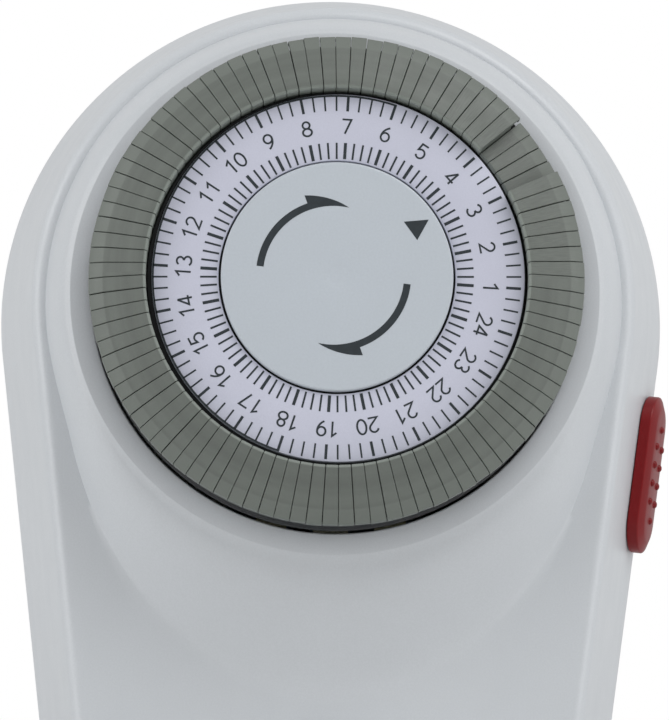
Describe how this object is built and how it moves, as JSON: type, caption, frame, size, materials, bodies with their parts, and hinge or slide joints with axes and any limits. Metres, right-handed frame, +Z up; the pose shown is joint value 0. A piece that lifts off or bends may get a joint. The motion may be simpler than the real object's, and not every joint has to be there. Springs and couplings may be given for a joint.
{
  "type": "plug-in segment timer",
  "caption": "Plug-in mechanical timer: round turning dial ringed with push tappets, side override slide, earthed socket below and a round-pin plug behind.",
  "frame": {"origin": "centre of the plug's end face, midway between the two pins", "axes": "+Z up with the timer hanging in a wall socket, +Y along the pins into the wall, front faces -Y, +X to the viewer's right"},
  "size_m": [0.0781, 0.08, 0.1377],
  "materials": {
    "case_front": "satin moulded ABS, cool light grey",
    "case_rear": "satin moulded ABS, cool light grey",
    "screw_steel": "zinc plated steel",
    "socket_plastic": "satin moulded plastic, light grey",
    "shutter_plastic": "amber moulded plastic",
    "block_plastic": "heat-proof moulded plastic, off-white",
    "sleeve_brass": "rolled brass",
    "pin_nickel": "nickel plated brass",
    "earth_metal": "tinned spring bronze",
    "plate_plastic": "moulded acetal, ivory",
    "plate_steel": "zinc plated sheet steel",
    "axle_steel": "ground steel",
    "can_steel": "zinc plated pressed steel",
    "bobbin_plastic": "black moulded nylon",
    "winding_copper": "enamelled copper wire under tape",
    "rotor_magnet": "moulded ferrite",
    "gear_white": "moulded acetal, natural white",
    "gear_amber": "moulded nylon, amber",
    "spring_steel": "spring steel",
    "dial_black": "black moulded acetal",
    "scale_plastic": "printed light grey plastic with a lilac cast",
    "disc_plastic": "printed blue-grey plastic",
    "tappet_plastic": "moulded acetal, green-grey",
    "lever_plastic": "moulded acetal, ivory",
    "blade_copper": "spring bronze with silver rivets",
    "slide_red": "deep red moulded plastic",
    "lead_insulation": "brown silicone insulation"
  },
  "bodies": {
    "case": {"front_case": "case_front", "rear_case": "case_rear", "case_screws": "screw_steel", "socket_well": "socket_plastic", "socket_face": "socket_plastic", "contact_block": "block_plastic", "live_sleeve": "sleeve_brass", "neutral_sleeve": "sleeve_brass", "live_pin": "pin_nickel", "neutral_pin": "pin_nickel", "earth_strip": "earth_metal", "gear_plate": "plate_plastic", "motor_plate": "plate_steel", "plate_screws": "screw_steel", "gear_axles": "axle_steel", "motor_can": "can_steel", "coil_bobbin": "bobbin_plastic", "coil_winding": "winding_copper", "centre_disc": "disc_plastic", "fixed_blade": "blade_copper", "motor_leads": "lead_insulation"},
    "dial": {"dial_gear": "dial_black", "dial_carrier": "dial_black", "hour_scale": "scale_plastic"},
    "shutter": {"shutter": "shutter_plastic"},
    "rotor": {"rotor": "rotor_magnet"},
    "gear_1": {"gear_1": "gear_white"},
    "gear_2": {"gear_2": "gear_amber"},
    "gear_3": {"gear_3": "gear_white"},
    "clutch_wheel": {"clutch_wheel": "gear_amber"},
    "clutch_pinion": {"clutch_pinion": "gear_white", "clutch_spring": "spring_steel"},
    "feeler_lever": {"feeler_lever": "lever_plastic"},
    "moving_blade": {"moving_blade": "blade_copper"},
    "override": {"override_slide": "slide_red", "override_arm": "lever_plastic"},
    "tappets_hour_01": {"tappets_hour_01": "tappet_plastic"},
    "tappets_hour_02": {"tappets_hour_02": "tappet_plastic"},
    "tappets_hour_03": {"tappets_hour_03": "tappet_plastic"},
    "tappets_hour_04": {"tappets_hour_04": "tappet_plastic"},
    "tappets_hour_05": {"tappets_hour_05": "tappet_plastic"},
    "tappets_hour_06": {"tappets_hour_06": "tappet_plastic"},
    "tappets_hour_07": {"tappets_hour_07": "tappet_plastic"},
    "tappets_hour_08": {"tappets_hour_08": "tappet_plastic"},
    "tappets_hour_09": {"tappets_hour_09": "tappet_plastic"},
    "tappets_hour_10": {"tappets_hour_10": "tappet_plastic"},
    "tappets_hour_11": {"tappets_hour_11": "tappet_plastic"},
    "tappets_hour_12": {"tappets_hour_12": "tappet_plastic"},
    "tappets_hour_13": {"tappets_hour_13": "tappet_plastic"},
    "tappets_hour_14": {"tappets_hour_14": "tappet_plastic"},
    "tappets_hour_15": {"tappets_hour_15": "tappet_plastic"},
    "tappets_hour_16": {"tappets_hour_16": "tappet_plastic"},
    "tappets_hour_17": {"tappets_hour_17": "tappet_plastic"},
    "tappets_hour_18": {"tappets_hour_18": "tappet_plastic"},
    "tappets_hour_19": {"tappets_hour_19": "tappet_plastic"},
    "tappets_hour_20": {"tappets_hour_20": "tappet_plastic"},
    "tappets_hour_21": {"tappets_hour_21": "tappet_plastic"},
    "tappets_hour_22": {"tappets_hour_22": "tappet_plastic"},
    "tappets_hour_23": {"tappets_hour_23": "tappet_plastic"},
    "tappets_hour_24": {"tappets_hour_24": "tappet_plastic"}
  },
  "joints": [
    {"name": "dial_spin", "type": "hinge", "parent": "case", "child": "dial", "pos_m": [0, -0.05, 0.072], "axis": [0, 1, 0], "continuous": true},
    {"name": "clutch_pinion_spin", "type": "hinge", "parent": "case", "child": "clutch_pinion", "pos_m": [-0.01273, -0.04, 0.08473], "axis": [0, 1, 0], "continuous": true},
    {"name": "rotor_spin", "type": "hinge", "parent": "case", "child": "rotor", "pos_m": [0.00564, -0.04, 0.06756], "axis": [0, 1, 0], "continuous": true},
    {"name": "gear_1_spin", "type": "hinge", "parent": "case", "child": "gear_1", "pos_m": [0.01309, -0.04, 0.07821], "axis": [0, 1, 0], "continuous": true},
    {"name": "gear_2_spin", "type": "hinge", "parent": "case", "child": "gear_2", "pos_m": [0.01039, -0.04, 0.09092], "axis": [0, 1, 0], "continuous": true},
    {"name": "gear_3_spin", "type": "hinge", "parent": "case", "child": "gear_3", "pos_m": [0.00015, -0.04, 0.08292], "axis": [0, 1, 0], "continuous": true},
    {"name": "clutch_wheel_spin", "type": "hinge", "parent": "case", "child": "clutch_wheel", "pos_m": [-0.01273, -0.04, 0.08473], "axis": [0, 1, 0], "continuous": true},
    {"name": "feeler_rock", "type": "hinge", "parent": "case", "child": "feeler_lever", "pos_m": [0, -0.0418, 0.03675], "axis": [1, 0, 0], "range_deg": [0, 6.9]},
    {"name": "blade_bend", "type": "hinge", "parent": "case", "child": "moving_blade", "pos_m": [0, -0.0242, 0.034], "axis": [1, 0, 0], "range_deg": [-4.2, 0]},
    {"name": "override_move", "type": "slide", "parent": "case", "child": "override", "axis": [0.1253, 0, 0.9921], "range_m": [0, 0.003]},
    {"name": "shutter_turn", "type": "hinge", "parent": "case", "child": "shutter", "pos_m": [0, -0.0254, 0], "axis": [0, 1, 0], "range_deg": [0, 40], "stiffness_Nm_per_rad": 0.002},
    {"name": "press_hour_01", "type": "slide", "parent": "dial", "child": "tappets_hour_01", "axis": [0, -1, 0], "range_m": [-0.0022, 0]},
    {"name": "press_hour_02", "type": "slide", "parent": "dial", "child": "tappets_hour_02", "axis": [0, -1, 0], "range_m": [-0.0022, 0]},
    {"name": "press_hour_03", "type": "slide", "parent": "dial", "child": "tappets_hour_03", "axis": [0, -1, 0], "range_m": [0, 0.0022]},
    {"name": "press_hour_04", "type": "slide", "parent": "dial", "child": "tappets_hour_04", "axis": [0, -1, 0], "range_m": [-0.0022, 0]},
    {"name": "press_hour_05", "type": "slide", "parent": "dial", "child": "tappets_hour_05", "axis": [0, -1, 0], "range_m": [-0.0022, 0]},
    {"name": "press_hour_06", "type": "slide", "parent": "dial", "child": "tappets_hour_06", "axis": [0, -1, 0], "range_m": [-0.0022, 0]},
    {"name": "press_hour_07", "type": "slide", "parent": "dial", "child": "tappets_hour_07", "axis": [0, -1, 0], "range_m": [-0.0022, 0]},
    {"name": "press_hour_08", "type": "slide", "parent": "dial", "child": "tappets_hour_08", "axis": [0, -1, 0], "range_m": [-0.0022, 0]},
    {"name": "press_hour_09", "type": "slide", "parent": "dial", "child": "tappets_hour_09", "axis": [0, -1, 0], "range_m": [-0.0022, 0]},
    {"name": "press_hour_10", "type": "slide", "parent": "dial", "child": "tappets_hour_10", "axis": [0, -1, 0], "range_m": [-0.0022, 0]},
    {"name": "press_hour_11", "type": "slide", "parent": "dial", "child": "tappets_hour_11", "axis": [0, -1, 0], "range_m": [-0.0022, 0]},
    {"name": "press_hour_12", "type": "slide", "parent": "dial", "child": "tappets_hour_12", "axis": [0, -1, 0], "range_m": [-0.0022, 0]},
    {"name": "press_hour_13", "type": "slide", "parent": "dial", "child": "tappets_hour_13", "axis": [0, -1, 0], "range_m": [-0.0022, 0]},
    {"name": "press_hour_14", "type": "slide", "parent": "dial", "child": "tappets_hour_14", "axis": [0, -1, 0], "range_m": [-0.0022, 0]},
    {"name": "press_hour_15", "type": "slide", "parent": "dial", "child": "tappets_hour_15", "axis": [0, -1, 0], "range_m": [-0.0022, 0]},
    {"name": "press_hour_16", "type": "slide", "parent": "dial", "child": "tappets_hour_16", "axis": [0, -1, 0], "range_m": [-0.0022, 0]},
    {"name": "press_hour_17", "type": "slide", "parent": "dial", "child": "tappets_hour_17", "axis": [0, -1, 0], "range_m": [-0.0022, 0]},
    {"name": "press_hour_18", "type": "slide", "parent": "dial", "child": "tappets_hour_18", "axis": [0, -1, 0], "range_m": [-0.0022, 0]},
    {"name": "press_hour_19", "type": "slide", "parent": "dial", "child": "tappets_hour_19", "axis": [0, -1, 0], "range_m": [-0.0022, 0]},
    {"name": "press_hour_20", "type": "slide", "parent": "dial", "child": "tappets_hour_20", "axis": [0, -1, 0], "range_m": [-0.0022, 0]},
    {"name": "press_hour_21", "type": "slide", "parent": "dial", "child": "tappets_hour_21", "axis": [0, -1, 0], "range_m": [-0.0022, 0]},
    {"name": "press_hour_22", "type": "slide", "parent": "dial", "child": "tappets_hour_22", "axis": [0, -1, 0], "range_m": [-0.0022, 0]},
    {"name": "press_hour_23", "type": "slide", "parent": "dial", "child": "tappets_hour_23", "axis": [0, -1, 0], "range_m": [-0.0022, 0]},
    {"name": "press_hour_24", "type": "slide", "parent": "dial", "child": "tappets_hour_24", "axis": [0, -1, 0], "range_m": [-0.0022, 0]}
  ],
  "couplings": [
    {"joint": "clutch_pinion_spin", "follows": "dial_spin", "ratio": -5},
    {"joint": "gear_1_spin", "follows": "rotor_spin", "ratio": -0.3},
    {"joint": "gear_2_spin", "follows": "rotor_spin", "ratio": 0.09},
    {"joint": "gear_3_spin", "follows": "rotor_spin", "ratio": -0.027},
    {"joint": "clutch_wheel_spin", "follows": "rotor_spin", "ratio": 0.0081},
    {"joint": "blade_bend", "follows": "feeler_rock", "ratio": -0.57}
  ]
}
